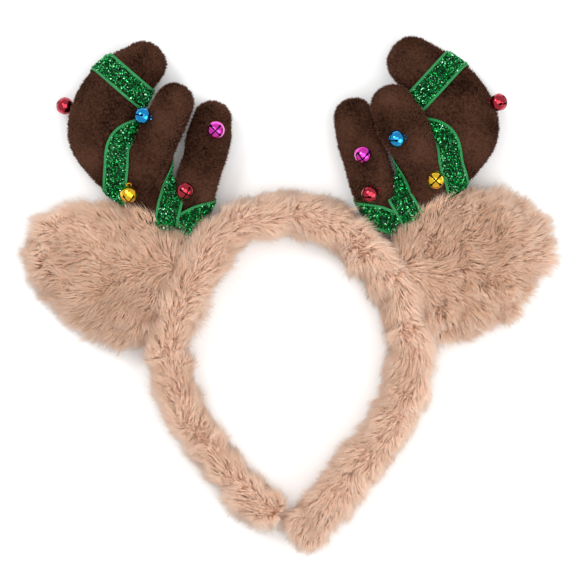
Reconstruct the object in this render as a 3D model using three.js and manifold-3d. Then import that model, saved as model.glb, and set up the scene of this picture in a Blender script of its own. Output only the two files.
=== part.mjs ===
// Costume reindeer headband, lying on its back: a fur-covered head band open at its ends, two padded
// fur ears, two stuffed plush antlers of three tines, a ribbon wound round each antler, and small
// round bells sewn to the plush. Millimetres, +Z up. The crown points to +Y and the face to +Z.
import * as THREE from "three";
import { mergeVertices } from "three/addons/utils/BufferGeometryUtils.js";
import Module from "manifold-3d";

const wasm = await Module();
wasm.setup();

// Fur: padding with locks that stand out from it
const PILE = 1.9; // from the padding to the tips of the locks
const LOCK_ROOT = 1.4; // how deep a lock is rooted in the padding
const LOCK_LEAN = 10; // how far a tip lies along the nap from its root
const LOCK_WIDTH = 4.2; // half of it, at the root
const LOCK_THICKNESS = 2.4;
const LOCK_SPACING = 13.5; // between rows of locks
const LOCK_SIDES = 3;
const LOCK_JITTER_DEG = 9;
const LOCK_SCATTER = 31; // keeps the jitter of one row apart from the next
const SCATTER_WAVES = { sine: 12.9898, cosine: 4.1414 };

// Heights of the middle of each piece above the surface that the headband lies on
const BAND_HEIGHT = 12.4;
const EAR_HEIGHT = 8.6;
const ANTLER_HEIGHT = 13;
const MIDDLE_TINE_LIFT = 4;

const DEEP = 15; // half the depth of the band, to the tips of its fur
const BAND_CORNERS = 0.8; // 1 is an ellipse, less is squarer
const BAND_END_CAP = 3; // how far the padding is rounded over past its last section
const EAR_TIP_CAP = 5;
const EAR_BASE_CAP = 4;
const TINE_DEPTH_SHARE = 0.55; // of a tine's half width
const TINE_DEPTH_BASE = 0.7;

const RIBBON_WIDTH = 11.5;
const RIBBON_THICKNESS = 1;
const RIBBON_TURN_STEP_DEG = 36;
const RIBBON_BRIDGE_STEPS = 3; // where it passes from one tine to another
const RIBBON_LIFT = 0.85; // of its inner face above the plush

const BELL_RADIUS = 4;
const BELL_WALL = 0.6;
const SLIT_WIDTH = 0.9;
const SLIT_REACH = 2.9; // from the bell's axis to the end of a slit
const SLIT_DEPTH = 2.6;
const SLIT_TURN_DEG = 45;
const LOOP_RADIUS = 1.1;
const LOOP_WIRE = 0.3;
const LOOP_STAND = 0.75; // from the ball to the middle of its loop

const GAP = 0.3; // between neighbouring pieces
const BELL_GAP = 0.45; // from a bell to what it lies on

// How finely the round forms are divided
const CAP_RINGS = 2;
const TINE_SIDES = 10;
const BALL = { sides: 10, rings: 5 };
const HOLLOW = { sides: 5, rings: 3 };
const LOOP = { wireSides: 5, steps: 8 };
const PROBE = { height: 100, rings: 6, spokes: 16, reach: 0.98 }; // finds what lies under a bell

const SURFACE_BLOCK = { side: 400, depth: 60 }; // below the surface that the headband lies on

const table = (columns, ...rows) =>
  rows.map((row) => Object.fromEntries(row.map((value, i) => [columns[i], value])));

// The band's middle line from its left end over the crown to its right end, to the tips of the fur.
// It is a little narrower on both sides of the crown, where its cover is gathered.
const SECTION = ["x", "y", "half_width", "half_depth"];
const BAND = table(
  SECTION,
  [-6.6, -103.2, 9.2, DEEP - 2],
  [-12.6, -97.0, 10.2, DEEP - 1],
  [-25.2, -84.6, 10.1, DEEP],
  [-38.3, -67.0, 10.5, DEEP],
  [-49.7, -48.5, 10.5, DEEP],
  [-55.5, -29.2, 11.0, DEEP],
  [-53.2, -14.0, 11.2, DEEP],
  [-46.9, 1.2, 11.5, DEEP],
  [-35.0, 21.4, 11.5, DEEP],
  [-25.8, 28.6, 10.8, DEEP - 1],
  [-18.2, 33.2, 12.0, DEEP],
  [0.0, 37.0, 11.5, DEEP],
  [18.0, 33.3, 12.2, DEEP],
  [25.6, 28.4, 11.0, DEEP - 1],
  [34.5, 20.9, 11.6, DEEP],
  [47.4, 3.0, 12.0, DEEP],
  [53.4, -14.0, 12.0, DEEP],
  [55.7, -30.1, 12.2, DEEP],
  [51.5, -48.5, 12.2, DEEP],
  [42.0, -66.0, 12.3, DEEP],
  [26.6, -85.6, 11.9, DEEP],
  [14.4, -99.6, 11.3, DEEP - 1],
  [4.6, -112.2, 10.8, DEEP - 2],
);
// Where locks grow: shares of a piece's length, and turns about it in degrees
const FUR = {
  band: { from: 0.035, to: 0.965, turns: [-22, 22, 66, 110, 154], sections: 28, sides: 10 },
  ear: { from: 0.2, to: 0.97, turns: [-5, 25, 55, 85, 115, 145, 175], sections: 7, sides: 12 },
};
// Where no locks grow, because another piece is sewn on there: rows of the piece, and turns about it
const BARE = ["from", "to", "turn_from", "turn_to"];
const SEWN_ON = {
  band: table(BARE, [5.2, 10.3, 100, 260], [11.8, 17, 100, 260]),
  ear_left: table(BARE, [0, 2.4, -60, 62]),
  ear_right: table(BARE, [0, 2.4, 118, 240]),
};

// Ears from where they are sewn on to the tip
const EARS = {
  ear_left: table(
    SECTION,
    [-47.8, 9.0, 21.0, 8.4],
    [-59.3, 6.4, 31.0, 9.8],
    [-70.8, 7.5, 34.8, 11.4],
    [-83.3, 11.0, 34.2, 11.8],
    [-96.1, 14.8, 30.8, 11.6],
    [-107.6, 17.8, 24.4, 10.8],
    [-118.2, 19.6, 14.6, 9.4],
  ),
  ear_right: table(
    SECTION,
    [48.8, 9.0, 21.0, 8.4],
    [59.3, 8.1, 31.4, 9.8],
    [71.8, 11.0, 34.8, 11.4],
    [83.3, 15.0, 34.4, 11.8],
    [94.8, 19.0, 32.4, 11.6],
    [105.3, 21.4, 26.2, 11.0],
    [118.2, 23.4, 14.4, 9.4],
  ),
};

// Tines from the base to the tip, and the palm that joins them, from the outer tine to the inner
const TINE = ["x", "y", "half_width"];
const ANTLERS = {
  left: {
    outer: table(
      TINE,
      [-63.0, 45.3, 9.2],
      [-73.1, 53.6, 11.0],
      [-81.0, 61.9, 12.4],
      [-86.0, 73.4, 15.1],
      [-83.0, 87.2, 14.9],
      [-75.9, 97.8, 13.2],
      [-67.2, 105.6, 10.1],
    ),
    middle: table(
      TINE,
      [-64.9, 40.6, 8.3],
      [-64.9, 54.5, 9.4],
      [-61.9, 66.5, 9.6],
      [-56.3, 78.4, 9.3],
      [-52.6, 87.6, 8.3],
    ),
    inner: table(
      TINE,
      [-44.9, 34.6, 8.3],
      [-42.3, 50.8, 9.3],
      [-38.8, 62.8, 9.6],
      [-36.7, 71.5, 9.9],
      [-35.1, 79.8, 8.5],
    ),
    palm: table(TINE, [-70.4, 45.0, 6.9], [-57.0, 40.8, 8.8], [-43.8, 36.4, 7.8]),
  },
  right: {
    outer: table(
      TINE,
      [62.1, 48.1, 8.3],
      [70.8, 56.4, 10.6],
      [76.4, 64.2, 12.7],
      [80.0, 75.7, 15.4],
      [76.1, 88.1, 14.9],
      [67.6, 98.2, 13.4],
      [57.0, 106.5, 11.2],
    ),
    middle: table(
      TINE,
      [63.9, 41.4, 8.0],
      [62.1, 54.5, 9.0],
      [57.5, 66.5, 9.9],
      [51.6, 77.1, 11.3],
      [47.2, 86.3, 9.9],
    ),
    inner: table(
      TINE,
      [42.2, 35.4, 8.3],
      [38.1, 50.8, 9.8],
      [35.0, 61.9, 9.9],
      [31.9, 72.0, 9.8],
      [29.8, 80.7, 9.0],
    ),
    palm: table(TINE, [72.2, 46.7, 6.0], [56.6, 41.8, 8.8], [40.6, 37.4, 7.8]),
  },
};

// The ribbon's route: which tine it lies on, how many rows along that tine, and the turn about it.
// A turn of 0 is the side towards the crown, 90 the front, 180 the outer side and -90 the back.
const ROUTE = ["tine", "along", "turn"];
const RIBBONS = {
  left: [
    table(ROUTE, ["inner", 0.6, -80], ["inner", 0.4, 0], ["inner", 0.05, 88], ["palm", 1.2, 112]),
    table(
      ROUTE,
      ["palm", 1.3, 118],
      ["palm", 1.35, 55],
      ["middle", 1.3, 0],
      ["middle", 1.45, -62],
      ["outer", 1.15, 270],
      ["outer", 0.85, 180],
      ["outer", 1.65, 86],
      ["outer", 2.6, 50],
      ["outer", 3.5, 0],
      ["outer", 4.3, -90],
      ["outer", 5, -180],
      ["outer", 5, -360],
      ["outer", 4.95, -430],
    ),
  ],
  right: [
    table(ROUTE, ["inner", 0.6, -80], ["inner", 0.4, 0], ["inner", 0.1, 86], ["palm", 1.35, 112]),
    table(
      ROUTE,
      ["palm", 1.4, 118],
      ["palm", 1.5, 55],
      ["middle", 1.65, 0],
      ["middle", 1.8, -62],
      ["outer", 1.15, 270],
      ["outer", 0.75, 180],
      ["outer", 1.45, 88],
      ["outer", 2.5, 50],
      ["outer", 3.5, 0],
      ["outer", 4.3, -90],
      ["outer", 5, -180],
      ["outer", 5, -360],
      ["outer", 4.95, -430],
    ),
  ],
};

// Bells: face 1 lies on the front of the plush and -1 on its back. The loop points towards an angle
// in the plane of the headband and dips into the plush by another.
const BELL = ["finish", "x", "y", "face", "loop_towards", "loop_dip"];
const BELLS = {
  left: table(
    BELL,
    ["red", -102.9, 86.7, -1, 0, 10],
    ["blue", -66.7, 81.4, 1, -10, 38],
    ["pink", -33.6, 74.5, 1, 90, 84],
    ["gold", -73.1, 45.5, 1, 90, 30],
    ["red", -47.4, 47.2, 1, 120, 62],
  ),
  right: table(
    BELL,
    ["red", 95.7, 87.6, 1, 172, 30],
    ["blue", 48.8, 70.6, 1, 15, 38],
    ["pink", 33.6, 63.3, 1, 80, 58],
    ["gold", 66.7, 51.8, 1, 100, 84],
    ["red", 36.8, 45.8, 1, 25, 30],
  ),
};

const FINISH = {
  fur: { color: 0xcda489, roughness: 0.95, metalness: 0 },
  plush: { color: 0x45291d, roughness: 0.95, metalness: 0 },
  ribbon: { color: 0x1b6a3a, roughness: 0.45, metalness: 0.2 },
  red: { color: 0xb02a3c, roughness: 0.22, metalness: 1 },
  blue: { color: 0x1590d8, roughness: 0.22, metalness: 1 },
  pink: { color: 0xd83cc0, roughness: 0.22, metalness: 1 },
  gold: { color: 0xf0b81c, roughness: 0.22, metalness: 1 },
};

const UP = new THREE.Vector3(0, 0, 1);
const radians = THREE.MathUtils.degToRad;
const signedPower = (value, power) => Math.sign(value) * Math.abs(value) ** power;
const wobble = (n) => Math.sin(n * SCATTER_WAVES.sine) * Math.cos(n * SCATTER_WAVES.cosine);

function positionsOnly(geometry) {
  geometry.deleteAttribute("normal");
  geometry.deleteAttribute("uv");
  return mergeVertices(geometry);
}

function solidOf(geometry) {
  const merged = positionsOnly(geometry);
  return new wasm.Manifold(
    new wasm.Mesh({
      numProp: 3,
      vertProperties: new Float32Array(merged.attributes.position.array),
      triVerts: new Uint32Array(merged.index.array),
    }),
  );
}

function meshOf(name, solid, finish) {
  const { vertProperties, triVerts } = solid.getMesh();
  const geometry = new THREE.BufferGeometry();
  geometry.setAttribute("position", new THREE.BufferAttribute(vertProperties, 3));
  geometry.setIndex(new THREE.BufferAttribute(triVerts, 1));
  const mesh = new THREE.Mesh(geometry, new THREE.MeshStandardMaterial(FINISH[finish]));
  mesh.name = name;
  return mesh;
}

const join = (solids) => solids.reduce((whole, next) => whole.add(next));

// A stuffed form along a curve, with an oval section that follows a table and two rounded ends
class Limb {
  constructor(rows, height, { corners = 1, startCap, endCap, shrink = 0 }) {
    this.path = new THREE.CatmullRomCurve3(rows.map((row) => new THREE.Vector3(row.x, row.y, height)));
    this.girth = new THREE.CatmullRomCurve3(
      rows.map((row) => new THREE.Vector3(row.half_width - shrink, row.half_depth - shrink, 0)),
    );
    this.last = rows.length - 1;
    Object.assign(this, { corners, startCap, endCap });
  }

  // A turn of 0 points to the right of the way along, and 90 degrees points up
  surface(share, turn, grow = 0, { shift = 0, scale = 1 } = {}) {
    const ahead = this.path.getTangent(share).setZ(0).normalize();
    const right = ahead.clone().cross(UP);
    const girth = this.girth.getPoint(share);
    return this.path
      .getPoint(share)
      .addScaledVector(ahead, shift)
      .addScaledVector(right, scale * (girth.x + grow) * signedPower(Math.cos(turn), this.corners))
      .addScaledVector(UP, scale * (girth.y + grow) * signedPower(Math.sin(turn), this.corners));
  }

  normal(share, turn) {
    const right = this.path.getTangent(share).setZ(0).normalize().cross(UP);
    const girth = this.girth.getPoint(share);
    return right
      .multiplyScalar(Math.cos(turn) / girth.x)
      .addScaledVector(UP, Math.sin(turn) / girth.y)
      .normalize();
  }

  // A sphere's rings become the sections and its poles the two ends
  solid(sections, sides, grow = 0) {
    const stations = [];
    for (let ring = CAP_RINGS; ring > 0; ring--) {
      const bend = (ring / CAP_RINGS) * (Math.PI / 2);
      stations.push({ share: 0, shift: -(this.startCap + grow) * Math.sin(bend), scale: Math.cos(bend) });
    }
    for (let section = 0; section <= sections; section++) {
      stations.push({ share: section / sections, shift: 0, scale: 1 });
    }
    for (let ring = 1; ring <= CAP_RINGS; ring++) {
      const bend = (ring / CAP_RINGS) * (Math.PI / 2);
      stations.push({ share: 1, shift: (this.endCap + grow) * Math.sin(bend), scale: Math.cos(bend) });
    }
    const rings = stations.length - 1;
    const geometry = new THREE.SphereGeometry(1, sides, rings);
    const { position, uv } = geometry.attributes;
    for (let i = 0; i < position.count; i++) {
      const station = stations[Math.round((1 - uv.getY(i)) * rings)];
      const pole = station === stations[0] || station === stations[rings];
      const turn = pole ? 0 : uv.getX(i) * 2 * Math.PI;
      const flat = pole ? { ...station, scale: 0 } : station;
      const point = this.surface(station.share, turn, grow, flat);
      position.setXYZ(i, point.x, point.y, point.z);
    }
    return solidOf(geometry);
  }
}

// One lock of fur: a flattened cone from its root in the padding to its tip
function lock(root, tip, grow) {
  const reach = tip.clone().sub(root);
  const side = reach.clone().cross(UP).normalize();
  const thick = side.clone().cross(reach).normalize();
  const cone = new THREE.ConeGeometry(1, 1, LOCK_SIDES, 1);
  const position = cone.attributes.position;
  for (let i = 0; i < position.count; i++) {
    const point = root
      .clone()
      .addScaledVector(side, position.getX(i) * (LOCK_WIDTH + grow))
      .addScaledVector(reach, (position.getY(i) + 0.5) * (1 + grow / reach.length()))
      .addScaledVector(thick, position.getZ(i) * (LOCK_THICKNESS + grow));
    position.setXYZ(i, point.x, point.y, point.z);
  }
  return solidOf(cone);
}

// Rows of locks over the turns that a fur piece shows, every second row set half a step aside
function locks(limb, { from, to, turns, lean, sewnOn, grow }) {
  const length = limb.path.getLength();
  const rowCount = Math.round(((to - from) * length) / LOCK_SPACING);
  const made = [];
  for (let row = 0; row <= rowCount; row++) {
    const along = from + ((to - from) * row) / rowCount;
    const share = limb.path.getUtoTmapping(along);
    const spans = sewnOn.filter((span) => share * limb.last > span.from && share * limb.last < span.to);
    turns.forEach((turn, spot) => {
      const stagger = row % 2 ? 0.5 : 0;
      const next = turns[spot + 1] ?? 2 * turn - turns[spot - 1];
      const degrees = turn + stagger * (next - turn) + LOCK_JITTER_DEG * wobble(row * LOCK_SCATTER + spot);
      if (spans.some((span) => degrees > span.turn_from && degrees < span.turn_to)) return;
      const ahead = THREE.MathUtils.clamp(along + (lean(along) * LOCK_LEAN) / length, 0, 1);
      const root = limb.surface(share, radians(degrees), -LOCK_ROOT);
      const tip = limb.surface(limb.path.getUtoTmapping(ahead), radians(degrees), PILE);
      made.push(lock(root, tip, grow));
    });
  }
  return made;
}

// What lies on the surface is flattened there
function flatten(solid) {
  const { side, depth } = SURFACE_BLOCK;
  const block = new THREE.BoxGeometry(side, side, depth).translate(0, 0, -depth / 2);
  return solid.subtract(solidOf(block));
}

const bandLimb = new Limb(BAND, BAND_HEIGHT, {
  corners: BAND_CORNERS,
  startCap: BAND_END_CAP,
  endCap: BAND_END_CAP,
  shrink: PILE,
});

function bandSolid(grow) {
  const awayFromCrown = (along) => (along < 0.5 ? -1 : 1);
  const cover = locks(bandLimb, { ...FUR.band, lean: awayFromCrown, sewnOn: SEWN_ON.band, grow });
  return flatten(join([bandLimb.solid(FUR.band.sections, FUR.band.sides, grow), ...cover]));
}

function earSolid(ear, grow) {
  const limb = new Limb(EARS[ear], EAR_HEIGHT, {
    corners: BAND_CORNERS,
    startCap: EAR_BASE_CAP,
    endCap: EAR_TIP_CAP,
    shrink: PILE,
  });
  const towardsTip = () => 1;
  const cover = locks(limb, { ...FUR.ear, lean: towardsTip, sewnOn: SEWN_ON[ear], grow });
  return flatten(join([limb.solid(FUR.ear.sections, FUR.ear.sides, grow), ...cover]));
}

function antlerLimbs(tines) {
  const limbs = {};
  for (const [tine, rows] of Object.entries(tines)) {
    const deep = rows.map((row) => ({
      ...row,
      half_depth: TINE_DEPTH_BASE + TINE_DEPTH_SHARE * row.half_width,
    }));
    const height = ANTLER_HEIGHT + (tine === "middle" ? MIDDLE_TINE_LIFT : 0);
    const ends = { startCap: rows[0].half_width, endCap: rows.at(-1).half_width };
    limbs[tine] = new Limb(deep, height, ends);
  }
  return limbs;
}

const antlerSolid = (limbs, grow) =>
  join(Object.values(limbs).map((limb) => limb.solid(limb.last + 1, TINE_SIDES, grow)));

// Points of the ribbon's middle line with the way that the ribbon faces there
function ribbonStops(limbs, route, side) {
  const lift = RIBBON_LIFT + RIBBON_THICKNESS / 2;
  const stop = (tine, along, turn) => {
    const limb = limbs[tine];
    const mirrored = (side === "left") === (tine === "palm");
    const about = radians(mirrored ? 180 - turn : turn);
    const share = along / limb.last;
    return { point: limb.surface(share, about, lift), facing: limb.normal(share, about) };
  };
  const stops = [];
  route.slice(0, -1).forEach((row, i) => {
    const next = route[i + 1];
    const start = stop(row.tine, row.along, row.turn);
    const end = stop(next.tine, next.along, next.turn);
    const bridge = next.tine !== row.tine;
    const turned = Math.abs(next.turn - row.turn);
    const steps = bridge ? RIBBON_BRIDGE_STEPS : Math.ceil(turned / RIBBON_TURN_STEP_DEG);
    for (let step = 0; step < steps; step++) {
      const mix = step / steps;
      const between = {
        point: start.point.clone().lerp(end.point, mix),
        facing: start.facing.clone().lerp(end.facing, mix).normalize(),
      };
      const along = THREE.MathUtils.lerp(row.along, next.along, mix);
      const turn = THREE.MathUtils.lerp(row.turn, next.turn, mix);
      stops.push(bridge ? between : stop(row.tine, along, turn));
    }
    if (i === route.length - 2) stops.push(end);
  });
  return stops;
}

// A flat strip bent along the stops: a box with one segment from each stop to the next
function ribbonStrip(stops) {
  const steps = stops.length - 1;
  const strip = new THREE.BoxGeometry(RIBBON_WIDTH, RIBBON_THICKNESS, 1, 1, 1, steps);
  const position = strip.attributes.position;
  for (let i = 0; i < position.count; i++) {
    const at = Math.round((position.getZ(i) + 0.5) * steps);
    const ahead = stops[Math.min(at + 1, steps)].point.clone().sub(stops[Math.max(at - 1, 0)].point);
    const across = stops[at].facing.clone().cross(ahead).normalize();
    const facing = ahead.cross(across).normalize();
    const point = stops[at].point
      .clone()
      .addScaledVector(across, position.getX(i))
      .addScaledVector(facing, position.getY(i));
    position.setXYZ(i, point.x, point.y, point.z);
  }
  return solidOf(strip);
}

// A hollow ball with a cross of two slits at its foot and a wire loop at its crown, along +Y
function bellSolid() {
  const ball = solidOf(new THREE.SphereGeometry(BELL_RADIUS, BALL.sides, BALL.rings));
  const hollow = solidOf(new THREE.SphereGeometry(BELL_RADIUS - BELL_WALL, HOLLOW.sides, HOLLOW.rings));
  const slit = new THREE.BoxGeometry(2 * SLIT_REACH, SLIT_DEPTH, SLIT_WIDTH).translate(0, -BELL_RADIUS, 0);
  const turn = radians(SLIT_TURN_DEG);
  const slits = solidOf(slit.clone().rotateY(turn)).add(solidOf(slit.rotateY(-turn)));
  const loop = new THREE.TorusGeometry(LOOP_RADIUS, LOOP_WIRE, LOOP.wireSides, LOOP.steps);
  loop.translate(0, BELL_RADIUS + LOOP_STAND, 0);
  return ball.add(solidOf(loop)).subtract(hollow).subtract(slits);
}

// How far out a bell's middle lies when its ball and its loop both rest on what is under them
function bellHeight(targets, bell, loopWay) {
  const rays = new THREE.Raycaster();
  const outward = new THREE.Vector3(0, 0, bell.face);
  const heightAt = (x, y) => {
    rays.set(new THREE.Vector3(x, y, PROBE.height * bell.face), outward.clone().negate());
    const hit = rays.intersectObjects(targets)[0];
    return hit ? hit.point.z * bell.face : -Infinity;
  };
  const touching = (x, y, radius) => {
    const clear = radius + BELL_GAP;
    let highest = -Infinity;
    for (let ring = 0; ring <= PROBE.rings; ring++) {
      const out = (PROBE.reach * clear * ring) / PROBE.rings;
      for (let spoke = 0; spoke < PROBE.spokes; spoke++) {
        const way = (spoke / PROBE.spokes) * 2 * Math.PI;
        const under = heightAt(x + out * Math.cos(way), y + out * Math.sin(way));
        highest = Math.max(highest, under + Math.sqrt(clear ** 2 - out ** 2));
      }
    }
    return highest;
  };
  const reach = BELL_RADIUS + LOOP_STAND;
  const loopX = bell.x + loopWay.x * reach;
  const loopY = bell.y + loopWay.y * reach;
  const loopHeight = touching(loopX, loopY, LOOP_RADIUS + LOOP_WIRE) - loopWay.z * bell.face * reach;
  return bell.face * Math.max(touching(bell.x, bell.y, BELL_RADIUS), loopHeight);
}

function sewOn(mesh, bell, targets) {
  const dip = radians(bell.loop_dip);
  const towards = radians(bell.loop_towards);
  const loopWay = new THREE.Vector3(
    Math.cos(dip) * Math.cos(towards),
    Math.cos(dip) * Math.sin(towards),
    -bell.face * Math.sin(dip),
  );
  mesh.quaternion.setFromUnitVectors(new THREE.Vector3(0, 1, 0), loopWay);
  mesh.position.set(bell.x, bell.y, bellHeight(targets, bell, loopWay));
}

const headband = new THREE.Group();
const band = bandSolid(0);
const bandRoom = bandSolid(GAP);
headband.add(meshOf("band", band, "fur"));

for (const side of ["left", "right"]) {
  const ear = `ear_${side}`;
  headband.add(meshOf(ear, earSolid(ear, 0).subtract(bandRoom), "fur"));

  const furRoom = bandRoom.add(earSolid(ear, GAP));
  const limbs = antlerLimbs(ANTLERS[side]);
  const antler = meshOf(`antler_${side}`, antlerSolid(limbs, 0).subtract(furRoom), "plush");

  const strips = RIBBONS[side].map((route) => ribbonStrip(ribbonStops(limbs, route, side)));
  const ribbon = join(strips).subtract(antlerSolid(limbs, GAP)).subtract(furRoom);
  const ribbonMesh = meshOf(`ribbon_${side}`, ribbon, "ribbon");
  headband.add(antler, ribbonMesh);

  BELLS[side].forEach((bell, i) => {
    const mesh = meshOf(`bell_${side}_${i + 1}`, bellSolid(), bell.finish);
    sewOn(mesh, bell, [antler, ribbonMesh]);
    headband.add(mesh);
  });
}

export default headband;
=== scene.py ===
# %% [markdown]
# # A reindeer headband
# The headband lies on its back on a pale floor. It has a padded band and two ears in deep fur, two
# stuffed plush antlers, a glitter ribbon wound round each antler and ten small round bells. The solids
# that carry it are loaded first and never move. Every piece below is laid over one of them, in metres,
# so nothing has to be fitted afterwards.

# %% Load the solids
import math

import bpy
import numpy as np
from mathutils import Matrix, Vector
from mathutils.bvhtree import BVHTree
from mathutils.kdtree import KDTree


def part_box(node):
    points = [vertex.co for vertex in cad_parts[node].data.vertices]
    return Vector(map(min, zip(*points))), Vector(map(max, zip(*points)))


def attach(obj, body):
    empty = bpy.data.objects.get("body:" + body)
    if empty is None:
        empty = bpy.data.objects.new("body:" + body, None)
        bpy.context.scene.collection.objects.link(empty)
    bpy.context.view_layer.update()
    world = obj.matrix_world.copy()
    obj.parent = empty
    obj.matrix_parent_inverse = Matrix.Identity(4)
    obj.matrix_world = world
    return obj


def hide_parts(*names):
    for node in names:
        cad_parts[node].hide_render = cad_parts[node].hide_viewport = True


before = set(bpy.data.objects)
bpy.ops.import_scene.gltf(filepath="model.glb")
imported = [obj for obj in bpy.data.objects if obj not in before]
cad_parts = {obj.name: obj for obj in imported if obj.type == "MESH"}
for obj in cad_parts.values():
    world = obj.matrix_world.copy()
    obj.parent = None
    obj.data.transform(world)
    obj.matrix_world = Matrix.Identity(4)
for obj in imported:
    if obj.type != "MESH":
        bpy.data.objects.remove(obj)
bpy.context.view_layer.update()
bpy.ops.object.select_all(action="DESELECT")
MM = 0.001

# %% [markdown]
# ## Camera, floor and light
# The picture looks straight down on the headband through a long lens, so the near and far fur are
# almost the same size. One pixel of the 580 by 580 picture is 0.46 mm on the headband. A wide lamp
# overhead lights everything softly. A smaller one at the upper left gives each lock of fur a bright side,
# and a third at the right keeps the other side from going black. The world is bright, like a white tent
# round the table, so the floor stays clean and the bells have a pale room to mirror.

# %% Camera
PICTURE_PIXELS = 580
PIXEL = 0.46 * MM
CAMERA_HEIGHT = 2.2
CAMERA_SIGHT = 20.0
SENSOR = 36.0
MIDDLE_OF_PICTURE = (0.46 * MM, 2.07 * MM)

bpy.ops.object.camera_add(location=(*MIDDLE_OF_PICTURE, CAMERA_HEIGHT), rotation=(0, 0, 0))
camera = bpy.context.object
camera.name = "camera"
camera.data.sensor_width = SENSOR
camera.data.lens = SENSOR * CAMERA_HEIGHT / (PICTURE_PIXELS * PIXEL)
camera.data.clip_end = CAMERA_SIGHT
bpy.context.scene.camera = camera
bpy.context.scene.view_settings.view_transform = "Standard"
print("lens in mm:", round(camera.data.lens))

# %% Lights and floor
LAMPS = [
    # name, place, size, watts
    ("overhead", (0.1, 0.0, 1.7), 1.3, 12.5),
    ("key", (-0.65, 0.6, 1.1), 0.45, 7.0),
    ("fill", (0.95, -0.5, 0.9), 0.9, 8.0),
]
WORLD_GREY = 0.72
FLOOR_SIZE = 12.0

for name, place, size, watts in LAMPS:
    bpy.ops.object.light_add(type="AREA", location=place)
    lamp = bpy.context.object
    lamp.name = name
    lamp.data.size = size
    lamp.data.energy = watts
    lamp.rotation_euler = (-Vector(place)).to_track_quat("-Z", "Y").to_euler()
world = bpy.data.worlds.new("studio")
world.use_nodes = True
world.node_tree.nodes["Background"].inputs["Color"].default_value = (1, 1, 1, 1)
world.node_tree.nodes["Background"].inputs["Strength"].default_value = WORLD_GREY
bpy.context.scene.world = world

bpy.ops.mesh.primitive_plane_add(size=FLOOR_SIZE, location=(0, 0, 0))
floor = bpy.context.object
floor.name = "floor"
print("lamps:", len(LAMPS))

# %% [markdown]
# ## Writing materials as sums
# A material's nodes are easier to read as arithmetic. A Wire holds a socket and knows how to add,
# subtract, multiply and take powers, and each of these makes one Math node. All other nodes come from
# one method of Finish, which sets the node's own settings first and then its sockets.

# %% A wire
class Wire:
    """An output socket that takes part in sums and products."""

    def __init__(self, finish, socket):
        self.finish = finish
        self.socket = socket

    def math(self, operation, first, second):
        return self.finish.node("ShaderNodeMath", {"operation": operation}, {0: first, 1: second})

    def __add__(self, other):
        return self.math("ADD", self, other)

    def __sub__(self, other):
        return self.math("SUBTRACT", self, other)

    def __rsub__(self, other):
        return self.math("SUBTRACT", other, self)

    def __mul__(self, other):
        return self.math("MULTIPLY", self, other)

    def __pow__(self, other):
        return self.math("POWER", self, other)

    __radd__ = __add__
    __rmul__ = __mul__


print("signs that a wire knows:", "+ - * **")

# %% A finish
PATCH_SCALE = 55.0


class Finish:
    """A material with one Principled shader, built up node by node."""

    def __init__(self, name, **constants):
        self.material = bpy.data.materials.new(name)
        self.material.use_nodes = True
        self.tree = self.material.node_tree
        self.shader = self.tree.nodes["Principled BSDF"]
        for socket, value in constants.items():
            self.shader.inputs[socket.replace("_", " ")].default_value = value

    def node(self, kind, settings=None, sockets=None, out=0):
        made = self.tree.nodes.new(kind)
        for name, value in (settings or {}).items():
            setattr(made, name, value)
        for socket, value in (sockets or {}).items():
            if isinstance(value, Wire):
                self.tree.links.new(value.socket, made.inputs[socket])
            else:
                made.inputs[socket].default_value = value
        return Wire(self, made.outputs[out])

    def feed(self, socket, wire):
        self.tree.links.new(wire.socket, self.shader.inputs[socket])

    def mix(self, share, first, second, blend="MIX"):
        settings = {"data_type": "RGBA", "blend_type": blend}
        return self.node("ShaderNodeMix", settings, {0: share, 6: first, 7: second}, out=2)

    def map(self, name):
        """The two numbers of a UV map."""
        both = self.node("ShaderNodeUVMap", {"uv_map": name})
        first = self.node("ShaderNodeSeparateXYZ", None, {0: both})
        return first, Wire(self, first.socket.node.outputs[1])

    def noise(self, scale, detail=2.0):
        place = self.node("ShaderNodeTexCoord", out="Object")
        return self.node("ShaderNodeTexNoise", None, {"Vector": place, "Scale": scale, "Detail": detail})

    def patches(self, span):
        """A slow rise and fall about zero, for a pile that has been brushed one way and the other."""
        return (self.noise(PATCH_SCALE, detail=1.0) - 0.5) * span

    def bump(self, height, depth):
        self.feed("Normal", self.node("ShaderNodeBump", None, {"Height": height, "Distance": depth}))


def colour(red, green, blue):
    """A screen colour, 0 to 255, as the light that a shader works with. The curve is the screen's own."""
    values = [v / 255 for v in (red, green, blue)]
    light = [v / 12.92 if v <= 0.04045 else ((v + 0.055) / 1.055) ** 2.4 for v in values]
    return (*light, 1.0)


paper = Finish("pale_floor", Base_Color=colour(244, 244, 244), Roughness=0.9)
floor.data.materials.append(paper.material)
print("floor finish:", paper.material.name)

# %% [markdown]
# ## Finishes of fur and plush
# Light goes from hair to hair in real fur, so even its shadows are warm. Solid hairs would leave black
# gaps between the locks, so these let some light through. Each hair carries a small map of its own:
# across it runs the tone of that hair, and along it the way from root to tip. Plush is the same thing
# with a short dark pile, in patches that were brushed one way and the other. The cloth under a pile only
# shows between the hairs, so a mottle is enough for it.

# %% Hair and cloth
ROOT_FADE = 0.8
GREEN_FALL = 1.5
BLUE_FALL = 2.0
MOTTLE_CONTRAST = 1.8
MOTTLE_DEPTH = 0.4 * MM


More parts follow.
